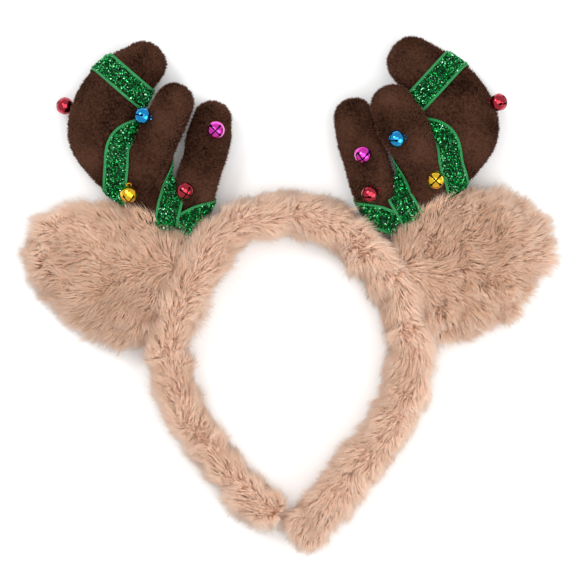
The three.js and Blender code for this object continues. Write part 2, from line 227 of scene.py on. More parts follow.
def hair_finish(name, root, tip, tone_span, patch_span, **constants):
    """A pile whose hairs run from a darker root colour to a tip colour: partly the pile's own colour, partly
    painted shade deep in the pile. A darker hair is also a warmer one.
    """
    finish = Finish(name, **constants)
    tone, along = finish.map("strand")
    # darker towards the root: partly the pile's own colour, partly painted shade deep in the pile
    shade = finish.mix(along**ROOT_FADE, root, tip)
    level = tone * tone_span + (1 - tone_span / 2) + finish.patches(patch_span)
    channels = {0: level, 1: level**GREEN_FALL, 2: level**BLUE_FALL}
    tint = finish.node("ShaderNodeCombineColor", None, channels)
    finish.feed("Base Color", finish.mix(1.0, shade, tint, blend="MULTIPLY"))
    return finish.material


def cloth_finish(name, dark, light, grain, patch_span, **constants):
    """The cloth that the pile stands on, a little mottled."""
    finish = Finish(name, **constants)
    mottle = finish.noise(grain)
    spread_out = mottle * MOTTLE_CONTRAST - (MOTTLE_CONTRAST - 1) / 2
    finish.feed("Base Color", finish.mix(spread_out + finish.patches(patch_span), dark, light))
    finish.bump(mottle, MOTTLE_DEPTH)
    return finish.material


print("powers of green and blue in a dark hair:", GREEN_FALL, BLUE_FALL)

# %% Fur and plush
FUR_ROOT = colour(238, 187, 152)
FUR_TIP = colour(243, 200, 167)
FUR_CLOTH_DARK = colour(206, 168, 144)
FUR_CLOTH_LIGHT = colour(220, 184, 160)
PLUSH_ROOT = colour(46, 28, 20)
PLUSH_TIP = colour(110, 71, 55)
PLUSH_CLOTH_DARK = colour(20, 10, 6)
PLUSH_CLOTH_LIGHT = colour(74, 47, 35)
SOFT_HAIR = {
    "Roughness": 0.85,
    "Specular_IOR_Level": 0.1,
    "Subsurface_Weight": 0.4,
    "Subsurface_Scale": 1.2 * MM,
    "Subsurface_Radius": (1.0, 0.95, 0.9),
}
DULL = {"Roughness": 0.95, "Specular_IOR_Level": 0.05}
VELVET = {
    "Roughness": 0.9,
    "Specular_IOR_Level": 0.03,
    "Sheen_Weight": 0.12,
    "Sheen_Roughness": 0.4,
    "Sheen_Tint": colour(170, 116, 92),
}

fur_hair = hair_finish("fur_hair", FUR_ROOT, FUR_TIP, tone_span=0.3, patch_span=0.0, **SOFT_HAIR)
fur_cloth = cloth_finish("fur_cloth", FUR_CLOTH_DARK, FUR_CLOTH_LIGHT, grain=420.0, patch_span=0.0, **DULL)
plush_hair = hair_finish("plush_hair", PLUSH_ROOT, PLUSH_TIP, tone_span=0.9, patch_span=1.5, **VELVET)
plush_cloth = cloth_finish(
    "plush_cloth", PLUSH_CLOTH_DARK, PLUSH_CLOTH_LIGHT, grain=800.0, patch_span=2.2, **VELVET
)
print("pile finishes:", fur_hair.name, plush_hair.name)

# %% [markdown]
# ## Finishes of the ribbon
# Glitter cloth is a dark green backing with tiny mirrors glued to it. A picture of sparkle would look
# the same from every side, so each flake is a mirror of its own. Each also gets a tone of its own, most
# dark, some bright green and a few almost white: painted glints on top of what the tipped flakes mirror.
# The satin edges are woven, with fine ribs across the ribbon, painted darker in their grooves: painted
# shade between the ribs.

# %% Glitter, satin and backing
GLINT_POWER = 8.0
RIB_PITCH = 0.55 * MM
RIB_DEPTH = 0.12 * MM
SATIN_ROUGHNESS = 0.5
RIB_POLISH = 0.15
BACKING_GRAIN = 2600.0
BACKING_ROUGHNESS = 0.35
SPECK_ROUGHNESS = 0.3


def glitter_finish():
    finish = Finish("glitter", Metallic=1.0, Roughness=0.3)
    tone, _ = finish.map("strand")
    # painted glints: each flake's tone runs from dark to bright green, and a few are almost white
    green = finish.mix(tone, colour(0, 14, 4), colour(28, 252, 126))
    finish.feed("Base Color", finish.mix(tone**GLINT_POWER, green, colour(210, 255, 230)))
    return finish.material


def satin_finish():
    finish = Finish("satin_edge", Specular_IOR_Level=0.2)
    _, along = finish.map("cut")
    turns = along * (2 * math.pi / RIB_PITCH)
    rise = finish.node("ShaderNodeMath", {"operation": "SINE"}, {0: turns}) * 0.5 + 0.5
    # painted shade: the grooves between the ribs are darker green, the rib tops paler
    finish.feed("Base Color", finish.mix(rise, colour(14, 92, 44), colour(52, 150, 86)))
    finish.feed("Roughness", SATIN_ROUGHNESS - rise * RIB_POLISH)
    finish.bump(rise, RIB_DEPTH)
    return finish.material


def backing_finish():
    finish = Finish("glitter_backing", Specular_IOR_Level=0.1)
    speck = finish.noise(BACKING_GRAIN)
    finish.feed("Base Color", finish.mix(speck, colour(0, 22, 7), colour(6, 58, 25)))
    finish.feed("Roughness", BACKING_ROUGHNESS + speck * SPECK_ROUGHNESS)
    return finish.material


glitter, satin, backing = glitter_finish(), satin_finish(), backing_finish()
print("ribbon finishes:", glitter.name, satin.name, backing.name)

# %% [markdown]
# ## Finishes of the bells
# The bells are lacquered metal: a coloured mirror, a little cloudy in places, under a clear coat. The
# coat could be left out, but it gives the small white light that a lacquered bell has on its shoulder.

# %% Four metals and painted shade for the inside
BELL_COLOURS = {
    # dark and light
    "red": (colour(138, 12, 32), colour(196, 44, 66)),
    "blue": (colour(0, 112, 190), colour(24, 176, 240)),
    "pink": (colour(196, 22, 160), colour(250, 70, 214)),
    "gold": (colour(226, 160, 8), colour(255, 216, 40)),
}
LACQUER = {"Metallic": 1.0, "Coat_Weight": 0.6, "Coat_Roughness": 0.03, "Coat_IOR": 1.45}
CLOUD_SCALE = 300.0
BELL_ROUGHNESS = 0.1
CLOUD_ROUGHNESS = 0.12


def bell_finish(name, dark, light):
    finish = Finish(f"bell_{name}", **LACQUER)
    cloud = finish.noise(CLOUD_SCALE)
    finish.feed("Base Color", finish.mix(cloud, dark, light))
    finish.feed("Roughness", BELL_ROUGHNESS + cloud * CLOUD_ROUGHNESS)
    return finish.material


bell_metal = {name: bell_finish(name, *pair) for name, pair in BELL_COLOURS.items()}
# painted shade: the inside of a bell is dark because light hardly gets into it
bell_painted_shade = Finish("bell_painted_shade", Base_Color=colour(16, 12, 12), Roughness=0.6).material
print("bell finishes:", sorted(bell_metal))

# %% [markdown]
# ## Stuffing a form
# A padded piece is sewn from cloth and filled, so its cloth is pulled tight by the filling and held in
# at the seams. It could be sculpted, but a cloth simulation finds that shape by itself. A form is blown
# up from inside with the points of its seam pinned. How far a point may move is capped, so the piece
# keeps its size.

# %% Points of a piece
def pick(piece):
    bpy.ops.object.select_all(action="DESELECT")
    piece.select_set(True)
    bpy.context.view_layer.objects.active = piece


def shape_with(piece, kind, **settings):
    """Adds a modifier, sets it and applies it."""
    modifier = piece.modifiers.new(kind.lower(), kind)
    for name, value in settings.items():
        setattr(modifier, name, value)
    pick(piece)
    bpy.ops.object.modifier_apply(modifier=modifier.name)


def points_of(piece):
    places = np.empty(len(piece.data.vertices) * 3)
    piece.data.vertices.foreach_get("co", places)
    return places.reshape(-1, 3)


def normals_of(piece):
    facing = np.empty(len(piece.data.vertices) * 3)
    piece.data.vertices.foreach_get("normal", facing)
    return facing.reshape(-1, 3)


def move_points(piece, places):
    piece.data.vertices.foreach_set("co", places.ravel())
    piece.data.update()


print("points of the floor:", len(points_of(floor)))

# %% Blow it up
STUFFING_PRESSURE = 150.0
CLOTH_STIFFNESS = 1.0
POINT_MASS = 0.02
STUFFING_FRAMES = 20
NEXT_TO_NOTHING = 1e-12


def stuff(piece, seam, cap):
    """Blows the cloth up from inside, with the seam's points pinned and no point moved past the cap."""
    before = points_of(piece)
    pinned = piece.vertex_groups.new(name="seam")
    pinned.add([int(i) for i in np.flatnonzero(seam)], 1.0, "REPLACE")
    cloth = piece.modifiers.new("cloth", "CLOTH")
    cloth.settings.use_pressure = True
    cloth.settings.uniform_pressure_force = STUFFING_PRESSURE
    cloth.settings.mass = POINT_MASS
    cloth.settings.tension_stiffness = CLOTH_STIFFNESS
    cloth.settings.compression_stiffness = CLOTH_STIFFNESS
    cloth.settings.effector_weights.gravity = 0
    cloth.settings.vertex_group_mass = pinned.name
    for step in range(1, STUFFING_FRAMES + 1):
        bpy.context.scene.frame_set(step)
    pick(piece)
    bpy.ops.object.modifier_apply(modifier=cloth.name)
    bpy.context.scene.frame_set(1)
    moved = points_of(piece) - before
    length = np.linalg.norm(moved, axis=1, keepdims=True)
    move_points(piece, before + moved * np.minimum(1.0, cap / np.maximum(length, NEXT_TO_NOTHING)))
    piece.vertex_groups.clear()
    print(f"{piece.name}: cloth moved by {length.mean() / MM:.1f} mm, cap {cap / MM:.1f} mm")


def dressed(piece, node, finish):
    """Gives a stuffed piece its cloth, hangs it on the root body and hides the solid that it stands for."""
    pick(piece)
    bpy.ops.object.shade_smooth()
    piece.data.materials.clear()
    piece.data.materials.append(finish)
    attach(piece, "root")
    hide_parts(node)
    print(piece.name, "points:", len(piece.data.vertices))
    return piece


print("stuffing pressure:", STUFFING_PRESSURE)

# %% [markdown]
# ## Forms along a line
# Band, ears and antlers are all stuffed forms that follow a line, so one function makes them. It takes
# a sphere, with its poles at the ends of the line, and moves each of its rings to where the line runs,
# as wide and as deep as the form is there. A copy of the solid would do for the size, but it has the
# solid's flat facets and its carved locks, which would show through the hairs.

# %% Lines
ROWS_BETWEEN = 12


def unit(vectors):
    return vectors / np.maximum(np.linalg.norm(vectors, axis=1, keepdims=True), NEXT_TO_NOTHING)


def through(rows):
    """A smooth line through a few rows, with a fixed number of steps from each row to the next."""
    rows = np.array(rows) * MM
    padded = np.vstack([2 * rows[0] - rows[1], rows, 2 * rows[-1] - rows[-2]])
    t = np.arange(ROWS_BETWEEN)[:, None] / ROWS_BETWEEN
    spans = []
    for a, b, c, d in zip(padded, padded[1:], padded[2:], padded[3:]):
        spans.append(b + 0.5 * t * (c - a + t * (2 * a - 5 * b + 4 * c - d + t * (3 * b - a - 3 * c + d))))
    return np.vstack([*spans, rows[-1:]])


def ways_along(line):
    return unit(np.gradient(line[:, :2], axis=0))


def lengths_along(line):
    """How far each row lies from the first one."""
    return np.concatenate([[0], np.cumsum(np.linalg.norm(np.diff(line, axis=0), axis=1))])


def rows_at(wanted, known, rows):
    """Every column of some rows, read off at other places along them."""
    return np.stack([np.interp(wanted, known, column) for column in rows.T], axis=1)


print("steps from row to row:", ROWS_BETWEEN)

# %% A form from a sphere
FORM_SIDES = 24


def form_along(name, line, rings, caps, corners=1.0):
    """A closed form from a line of x, y, half width, half depth and height, with rounded ends."""
    bpy.ops.mesh.primitive_uv_sphere_add(segments=FORM_SIDES, ring_count=rings, radius=1)
    form = bpy.context.object
    form.name = name
    ball = points_of(form)
    travelled = lengths_along(line[:, :2])
    at = np.arccos(np.clip(ball[:, 2], -1, 1)) / math.pi * (travelled[-1] + sum(caps)) - caps[0]
    on_line = np.clip(at, 0, travelled[-1])
    past_end = at - on_line
    rounded = np.sqrt(np.clip(1 - (past_end / np.where(past_end < 0, *caps)) ** 2, 0, 1))
    middle = rows_at(on_line, travelled, line)
    ahead = unit(rows_at(on_line, travelled, ways_along(line)))
    right = np.stack([ahead[:, 1], -ahead[:, 0]], axis=1)
    around = np.arctan2(ball[:, 1], ball[:, 0])
    wide, deep = (np.sign(wave) * np.abs(wave) ** corners for wave in (np.cos(around), np.sin(around)))
    sideways = right * (middle[:, 2] * wide * rounded)[:, None]
    flat = middle[:, :2] + ahead * past_end[:, None] + sideways
    move_points(form, np.column_stack([flat, middle[:, 4] + middle[:, 3] * deep * rounded]))
    return form


def skin_of(piece):
    """The surface of a piece, for finding the nearest place on it or where a ray meets it."""
    faces = [tuple(face.vertices) for face in piece.data.polygons]
    return BVHTree.FromPolygons([tuple(place) for place in points_of(piece)], faces)


def nearest_of(places, seeds):
    """The number of the seed that lies nearest to each place."""
    tree = KDTree(len(seeds))
    for i, seed in enumerate(seeds):
        tree.insert(seed, i)
    tree.balance()
    return np.array([tree.find(place)[1] for place in places])


print("sides of a form:", FORM_SIDES)

# %% [markdown]
# ## Padding of the band and the ears
# Under the fur lies a padded form. The tables give the headband to the tips of its fur, so the padding
# is drawn in by the height of the pile. An ear is cut off where it meets the band. Filling is never
# quite even, so after the stuffing a slow ripple makes the form a little lumpy, and the fur lies in
# hollows and on swellings as it does on the real one.

# %% Band and ears, in millimetres to the tips of the fur
BAND = [
    # x, y, half width, half depth
    (-8, -100.4, 12.6, 13), (-14, -95.6, 11.4, 14), (-25.2, -84.5, 9.8, 15), (-39, -67.4, 9.9, 15),
    (-49.9, -48.6, 10.1, 15), (-55.6, -29.2, 10.7, 15), (-54, -14, 10.1, 15), (-47.2, 1.3, 10.7, 15),
    (-35, 21.4, 11.3, 15), (-26.4, 29, 10.2, 14), (-18.8, 34, 11, 15), (0, 36.7, 11.2, 15),
    (18, 33.3, 12, 15), (25.6, 28.4, 11, 14), (34.5, 20.9, 11.6, 15), (47.9, 3.1, 11.1, 15),
    (54.6, -14, 10.3, 15), (55.8, -30.1, 11.9, 15), (51.4, -48.5, 11.9, 15), (41.7, -65.8, 11.9, 15),
    (26.4, -85.5, 11.8, 15), (14.4, -99.6, 11.8, 14), (4.6, -112.2, 12.2, 13),
]
EARS = {
    # x, y, half width, half depth
    "ear_left": [
        (-47.8, 9, 21, 12.5), (-59.3, 6, 31.6, 12.2), (-70.8, 7.3, 35, 11.4), (-83.3, 11.4, 34.2, 11.8),
        (-96.1, 16.6, 30.2, 11.6), (-107.6, 20.4, 23.8, 10.8), (-118.4, 23, 14, 9.4),
    ],
    "ear_right": [
        (48.8, 9, 21, 12.5), (59.3, 7.6, 32, 12.2), (71.8, 10.8, 35.2, 11.4), (83.3, 15.4, 35, 11.8),
        (94.8, 20.2, 32.6, 11.6), (105.3, 22.3, 25, 11), (118.6, 24, 14.4, 9.4),
    ],
}
BAND_HEIGHT = 12.4 * MM
EAR_HEIGHT = 8.6 * MM
BAND_PILE = 5.6 * MM
EAR_PILE = 5.0 * MM


def drawn_in(rows, pile, height, first, last):
    """A line that is narrower by the pile, with a few steps left off at its ends."""
    line = through(rows) - (0, 0, pile, pile)
    return np.column_stack([line, np.full(len(line), height)])[first:len(line) - last]


band_line = drawn_in(BAND, BAND_PILE, BAND_HEIGHT, first=1, last=2)
ear_lines = {node: drawn_in(rows, EAR_PILE, EAR_HEIGHT, first=0, last=4) for node, rows in EARS.items()}
print("length of the band's padding in mm:", round(lengths_along(band_line[:, :2])[-1] / MM))

# %% Stuffed padding
CORE_VOXEL = 2.2 * MM
SEAM_FACING = 0.12
PADDING_SWELL = 0.9 * MM
FLOOR_CLEAR = 0.25 * MM
RIPPLE_WAVES = 7
RIPPLE_SPREAD = (0.6, 1.5)
RIPPLE_PEAK = 1.6
LUMP_HEIGHT = 0.8 * MM
LUMP_LENGTH = 17 * MM
LUMP_SEED = 5


def ripple(places, wavelength, random):
    """A smooth field between about -1 and 1 that wanders over the given length."""
    pace = 2 * math.pi / wavelength
    ways = unit(random.normal(size=(RIPPLE_WAVES, 3))) * pace
    ways = ways * random.uniform(*RIPPLE_SPREAD, (RIPPLE_WAVES, 1))
    waves = np.sin(places @ ways.T + random.uniform(0, 2 * math.pi, RIPPLE_WAVES))
    return waves.sum(1) / math.sqrt(RIPPLE_WAVES / 2) / RIPPLE_PEAK


def sewn(core, node):
    """Stuffs a form that will carry fur, with its seam at the sides pinned."""
    shape_with(core, "REMESH", mode="VOXEL", voxel_size=CORE_VOXEL)
    shape_with(core, "SMOOTH", factor=0.5, iterations=4)
    stuff(core, np.abs(normals_of(core)[:, 2]) < SEAM_FACING, PADDING_SWELL)
    lumps = LUMP_HEIGHT * ripple(points_of(core), LUMP_LENGTH, np.random.default_rng(LUMP_SEED))
    places = points_of(core) + normals_of(core) * lumps[:, None]
    places[:, 2] = np.maximum(places[:, 2], FLOOR_CLEAR)
    move_points(core, places)
    return dressed(core, node, fur_cloth)


print("lumps in mm:", round(LUMP_HEIGHT / MM, 1), "over", round(LUMP_LENGTH / MM))

# %% Pad the band and the ears
BAND_RINGS = 170
BAND_CAPS = (2 * MM, 2 * MM)
BAND_CORNERS = 0.8
EAR_RINGS = 48
EAR_CAPS = (3 * MM, 3 * MM)

cores = {"band": sewn(form_along("band_padding", band_line, BAND_RINGS, BAND_CAPS, BAND_CORNERS), "band")}
for node, line in ear_lines.items():
    ear = form_along(f"{node}_padding", line, EAR_RINGS, EAR_CAPS)
    shape_with(ear, "BOOLEAN", operation="DIFFERENCE", object=cores["band"], solver="MANIFOLD")
    cores[node] = sewn(ear, node)

# %% [markdown]
# ## Plush antlers
# Each antler has three stuffed fingers and a short palm that joins them, cut from plush in two panels
# and sewn round the outline. The middle finger lies a little in front of the others. The foot of a
# finger is thinner, dips towards the fur and is cut off where it meets the padding that it is sewn to.
# The seam is pinned while the panels swell, so it stays behind as a shallow groove.

# %% The line and the half width of each tine, in millimetres
TINES = {
    # x, y, half width
    "left": {
        "outer": [
            (-63, 45.3, 9.2), (-73.1, 53.6, 11), (-81, 61.9, 12.4), (-85.6, 73.2, 15.1),
            (-82.5, 86.9, 14.9), (-75.3, 97.5, 13.2), (-66.6, 105.4, 10.1),
        ],
        "middle": [
            (-64.9, 40.6, 8.3), (-64.9, 54.5, 9.4), (-61.9, 66.5, 9.4), (-56.5, 78.4, 9.1),
            (-52.3, 87.6, 8.6),
        ],
        "inner": [
            (-44.9, 34.6, 8.3), (-42.3, 50.8, 9.3), (-38.5, 62.8, 9.3), (-36.7, 71.5, 9.9),
            (-35.1, 79.8, 8.5),
        ],
        "palm": [(-70.4, 45, 6.9), (-57, 40.8, 8.8), (-43.8, 36.4, 7.8)],
    },
    "right": {
        "outer": [
            (62.1, 48.1, 8.3), (70.8, 56.4, 10.6), (76.4, 64.2, 12.7), (80.3, 75.3, 15.4),
            (76.1, 88.1, 14.9), (67.1, 97.7, 13.3), (56.5, 106.3, 11.2),
        ],
        "middle": [
            (63.9, 41.4, 8), (62.1, 54.5, 9), (57.5, 66.5, 9.9), (51.6, 77.1, 11.3), (47.4, 85.9, 9.7),
        ],
        "inner": [
            (42.2, 35.4, 8.3), (38.1, 50.8, 9.8), (35, 61.9, 9.8), (31.9, 72, 9.7), (29.8, 80.7, 8.9),
        ],
        "palm": [(72.2, 46.7, 6), (56.6, 41.8, 8.8), (40.6, 37.4, 7.8)],
    },
}
TINE_HEIGHT = {"outer": 13.0 * MM, "middle": 17.0 * MM, "inner": 13.0 * MM, "palm": 10.0 * MM}
TINE_DEPTH_SHARE = 0.55
TINE_DEPTH_BASE = 0.7 * MM
SEAM_TAKES = 0.8 * MM
FOOT_LENGTH = 10 * MM
FOOT_DEPTH = 0.5
FOOT_HEIGHT = 12 * MM


def with_depth(line, height):
    """Adds half depth and height, which change at the foot, and to the half width what the seam will take."""
    depth = TINE_DEPTH_BASE + TINE_DEPTH_SHARE * line[:, 2]
    from_foot = np.minimum(np.linalg.norm(line[:, :2] - line[0, :2], axis=1) / FOOT_LENGTH, 1)
    depth = depth * (FOOT_DEPTH + (1 - FOOT_DEPTH) * from_foot)
    heights = FOOT_HEIGHT + (height - FOOT_HEIGHT) * from_foot
    return np.column_stack([line + (0, 0, SEAM_TAKES), depth, heights])


lines = {
    side: {tine: with_depth(through(rows), TINE_HEIGHT[tine]) for tine, rows in tines.items()}
    for side, tines in TINES.items()
}
print("steps along the left outer tine:", len(lines["left"]["outer"]))

# %% One stuffed finger
TINE_RINGS = 60
ANTLER_VOXEL = 1.4 * MM
FINGER_SWELL = 0.6 * MM
SIDE_FACING = 0.5
SEAM_HALF_WIDTH = 1.0 * MM
SEAM_DEPTH = 0.5 * MM


def stuffed(side, tine):
    """A finger that is cut off at the padding, blown up and drawn in along its seam."""
    line = lines[side][tine]
    form = form_along(f"antler_{side}_{tine}", line, TINE_RINGS, (line[0, 2], line[-1, 2]))
    for core in (cores["band"], cores[f"ear_{side}"]):
        shape_with(form, "BOOLEAN", operation="DIFFERENCE", object=core, solver="MANIFOLD")
    shape_with(form, "REMESH", mode="VOXEL", voxel_size=ANTLER_VOXEL)
    shape_with(form, "SMOOTH", factor=0.5, iterations=3)
    places, facing = points_of(form), normals_of(form)
    seam_height = line[nearest_of(places, line[:, [0, 1, 4]]), 4]
    off_seam = (places[:, 2] - seam_height) / SEAM_HALF_WIDTH
    on_side = np.abs(facing[:, 2]) < SIDE_FACING
    stuff(form, on_side & (np.abs(off_seam) < 1), FINGER_SWELL)
    groove = SEAM_DEPTH * np.exp(-(off_seam**2)) * on_side
    move_points(form, points_of(form) - facing * groove[:, None])
    return form


print("groove of the seam in mm:", round(SEAM_DEPTH / MM, 1))

antlers, skins = {}, {}
for side in TINES:
    forms = [stuffed(side, tine) for tine in TINES[side]]
    skins[side] = {tine: skin_of(form) for tine, form in zip(TINES[side], forms)}
    pick(forms[0])
    for form in forms:
        form.select_set(True)
    bpy.ops.object.join()
    plush = bpy.context.object
    plush.name = f"antler_{side}_plush"
    antlers[side] = dressed(plush, f"antler_{side}", plush_cloth)

# %% [markdown]
# ## Hairs
# The pile is tens of thousands of hairs. Blender's hair system would need its own export, so each hair
# is a tiny closed shape. A long hair is a spindle: a root, a bend with three corners, and a tip. The
# undercoat and the plush have short straight hairs, for which a cone with three sides is enough. All
# hairs of a piece are one mesh made from arrays, because adding them one by one would take hours.

# %% Spread roots over a surface
UNDERSIDE_FACING = -0.35
UNDERSIDE_SHARE = 0.22


def spread(piece, count, random):
    """Points spread over a mesh by area, fewer on its underside, and the way each one faces."""
    mesh = piece.data
    mesh.calc_loop_triangles()
    corners = np.empty(len(mesh.loop_triangles) * 3, np.int64)
    mesh.loop_triangles.foreach_get("vertices", corners)
    corners = corners.reshape(-1, 3)
    places, facing = points_of(piece), normals_of(piece)
    a, b, c = (places[corners[:, i]] for i in range(3))
    areas = np.linalg.norm(np.cross(b - a, c - a), axis=1)
    areas = areas * np.where(facing[corners[:, 0], 2] < UNDERSIDE_FACING, UNDERSIDE_SHARE, 1.0)
    chosen = corners[random.choice(len(areas), count, p=areas / areas.sum())]
    first, second = np.sqrt(random.random(count)), random.random(count)
    share = np.stack([1 - first, first * (1 - second), first * second], axis=1)[..., None]
    return (places[chosen] * share).sum(1), unit((facing[chosen] * share).sum(1))


print("share of hairs on the underside:", UNDERSIDE_SHARE)

# %% Many small shapes as one mesh
HAIR_MAPS = ("strand", "OFBake")
NEARLY_UPRIGHT = 0.9


def ring_of(axis, turn):
    """Three corners round each hair, as directions across it."""
    helper = np.where(np.abs(axis[:, 2:]) < NEARLY_UPRIGHT, [[0.0, 0.0, 1.0]], [[1.0, 0.0, 0.0]])
    across = unit(np.cross(axis, helper))
    over = np.cross(axis, across)
    around = turn[:, None] + np.arange(3) * 2 * math.pi / 3
    return across[:, None] * np.cos(around)[..., None] + over[:, None] * np.sin(around)[..., None]


def joined_mesh(name, points, faces, maps, finish, smooth):
    """One piece from stacked copies of a small shape, with its map stored for the finish and the bake."""
    copies, size = points.shape[:2]
    every_face = (faces[None] + size * np.arange(copies)[:, None, None]).reshape(-1, 3)
    mesh = bpy.data.meshes.new(name)
    mesh.from_pydata(points.reshape(-1, 3), [], every_face)
    for map_name in HAIR_MAPS:
        layer = mesh.uv_layers.new(name=map_name, do_init=False)
        layer.uv.foreach_set("vector", maps[:, faces.ravel()].astype(np.float32).ravel())
    mesh.polygons.foreach_set("use_smooth", np.full(len(every_face), smooth))
    mesh.materials.append(finish)
    piece = bpy.data.objects.new(name, mesh)
    bpy.context.scene.collection.objects.link(piece)
    print(piece.name, "triangles:", len(every_face))
    return piece


print("maps of a hair:", HAIR_MAPS)

# %% Spindles and cones
SPINDLE_BEND = 0.42
SPINDLE_FACES = np.array([[1, 2, 4], [2, 3, 4], [3, 1, 4], [2, 1, 0], [3, 2, 0], [1, 3, 0]])
CONE_FACES = np.array([[0, 1, 3], [1, 2, 3], [2, 0, 3], [0, 2, 1]])
TONE_WIDTH = 0.006
TONE_RANGE = (0.02, 0.98)


def spindles(name, roots, bends, tips, radius, tone, turn, finish):
    """Closed hairs that are thickest at their bend."""
    ring = bends[:, None] + ring_of(unit(tips - roots), turn) * radius[:, None, None]
    points = np.concatenate([roots[:, None], ring, tips[:, None]], axis=1)
    across = tone[:, None] + TONE_WIDTH * np.array([0.0, -1.0, 0.0, 1.0, 0.0])
    along = np.broadcast_to([0.0, SPINDLE_BEND, SPINDLE_BEND, SPINDLE_BEND, 1.0], across.shape)
    return joined_mesh(name, points, SPINDLE_FACES, np.stack([across, along], axis=2), finish, True)


def cones(name, roots, facing, tips, radius, tone, turn, finish, smooth=True):
    """Closed pyramids with three sides, thickest at their root."""
    ring = roots[:, None] + ring_of(facing, turn) * radius[:, None, None]
    points = np.concatenate([ring, tips[:, None]], axis=1)
    across = tone[:, None] + TONE_WIDTH * np.array([-1.0, 0.0, 1.0, 0.0])
    along = np.broadcast_to([0.0, 0.0, 0.0, 1.0], across.shape)
    return joined_mesh(name, points, CONE_FACES, np.stack([across, along], axis=2), finish, smooth)


print("triangles in a spindle and in a cone:", len(SPINDLE_FACES), len(CONE_FACES))

# %% [markdown]
# ## Combing the fur
# Hairs don't stand alone: they close into locks, so every long hair is drawn towards the tip of the
# nearest lock. They lean the way the nap runs, swirl a little, and differ in length and tone. Under them
# stands an undercoat, shorter, straighter and in no lock, which keeps the cloth from showing. Each hair
# could be placed by hand in particle edit, but a few rules give thousands of them the same look.

# %% Lean and length of a hair
COATS = {
    # length, lean, hairs in a lock, pull of a lock on its hairs
    "band": (7.4 * MM, math.radians(46), 18, 0.28),
    "ear": (7.6 * MM, math.radians(44), 18, 0.28),
}
SWIRL = 0.24
SWIRL_LENGTH = 8 * MM
LOOSE_LOCK = 0.15
LOOSE_HAIR = 0.14
FULL_LEAN_FROM = 0.8
LEAST_LEAN = 0.1
LEAN_RIPPLE = 0.18
LEAN_RIPPLE_LENGTH = 9 * MM
LEAN_NOISE = 0.14
UNEVEN = 0.24
UNEVEN_LENGTH = 12 * MM
LENGTH_RANGE = (0.74, 1.12)
LONG_SHARE = 0.12
LONG_LENGTH = 1.2
UNDERCOAT_LENGTH = 0.8
UNDERCOAT_LEAN = 0.6


def hair_lean(places, facing, nap, lock, locks, under, full_lean, random):
    """The way each hair lies along the cloth, and its lean from upright in radians."""
    swirl = np.stack([ripple(places, SWIRL_LENGTH, random) for _ in "xyz"], axis=1)
    loose = random.normal(size=(locks, 3))[lock] * LOOSE_LOCK
    loose = loose + random.normal(size=(len(places), 3)) * LOOSE_HAIR
    way = nap + swirl * SWIRL + loose
    way = way - facing * (way * facing).sum(1, keepdims=True)
    strength = np.clip(np.linalg.norm(way, axis=1) / FULL_LEAN_FROM, LEAST_LEAN, 1)
    lean = full_lean * (strength * np.where(under, UNDERCOAT_LEAN, 1))
    lean = lean + LEAN_RIPPLE * ripple(places, LEAN_RIPPLE_LENGTH, random)
    return unit(way), (lean + random.normal(0, LEAN_NOISE, len(places)))[:, None]


def hair_length(places, longer, under, full_length, random):
    uneven = 1 + UNEVEN * ripple(places, UNEVEN_LENGTH, random)
    length = full_length * longer * uneven * random.uniform(*LENGTH_RANGE, len(places))
    length = length * np.where(random.random(len(places)) < LONG_SHARE, LONG_LENGTH, 1)
    return (length * np.where(under, UNDERCOAT_LENGTH, 1))[:, None]


print("hair lengths in mm:", {name: round(coat[0] / MM, 1) for name, coat in COATS.items()})

# %% Hairs closed into locks
UNDERCOAT_SHARE = 0.55
STRAY_SHARE = 0.2
BEND_UP = 0.86
BEND_OVER = 0.3
BEND_PULL = 0.4
TONE_PATCH = 0.14
TONE_PATCH_LENGTH = 26 * MM
TONE_OF_LOCK = 0.06
TONE_OF_HAIR = 0.1
ROOT_SINKS = 0.4 * MM


def comb(places, facing, nap, level, longer, coat, random):
    """Root, bend, tip and tone of each hair, and which hairs belong to the undercoat."""
    full_length, full_lean, hairs_in_lock, lock_pull = COATS[coat]
    count = len(places)
    locks = count // hairs_in_lock
    lock = nearest_of(places, places[:locks])
    under = random.random(count) < UNDERCOAT_SHARE
    under[:locks] = False
    way, lean = hair_lean(places, facing, nap, lock, locks, under, full_lean, random)
    length = hair_length(places, longer, under, full_length, random)
    bend = places + (facing * BEND_UP + way * BEND_OVER) * length * SPINDLE_BEND
    tip = places + (facing * np.cos(lean) + way * np.sin(lean)) * length
    pull = np.where(under | (random.random(count) < STRAY_SHARE), 0.0, lock_pull)[:, None]
    tip = tip + (tip[lock] - tip) * pull
    bend = bend + (bend[lock] - bend) * pull * BEND_PULL
    for line in (bend, tip):
        line[:, 2] = np.maximum(line[:, 2], FLOOR_CLEAR)
    tone = level + TONE_PATCH * ripple(places, TONE_PATCH_LENGTH, random)
    tone = tone + random.normal(0, TONE_OF_LOCK, locks)[lock] + random.normal(0, TONE_OF_HAIR, count)
    return places - facing * ROOT_SINKS, bend, tip, np.clip(tone, *TONE_RANGE), under


print("share of the undercoat:", UNDERCOAT_SHARE)

# %% Where fur meets other pieces
JOIN_REACH = 7 * MM


def laid_over(places, skin, over, reach):
    """Lifts places that a form would swallow to just in front of it, where they aren't far below."""
    for place in places:
        front, _, _, _ = skin.ray_cast(Vector((place[0], place[1], 1.0)), Vector((0, 0, -1)))
        if front is not None and 0 < front.z + over - place[2] < reach:
            place[2] = front.z + over
    return places


def closeness(places, skin):
    """How near each place is to a surface: 1 on it, and next to nothing a few times further off."""
    return np.exp(-np.array([skin.find_nearest(Vector(place))[3] for place in places]) / JOIN_REACH)


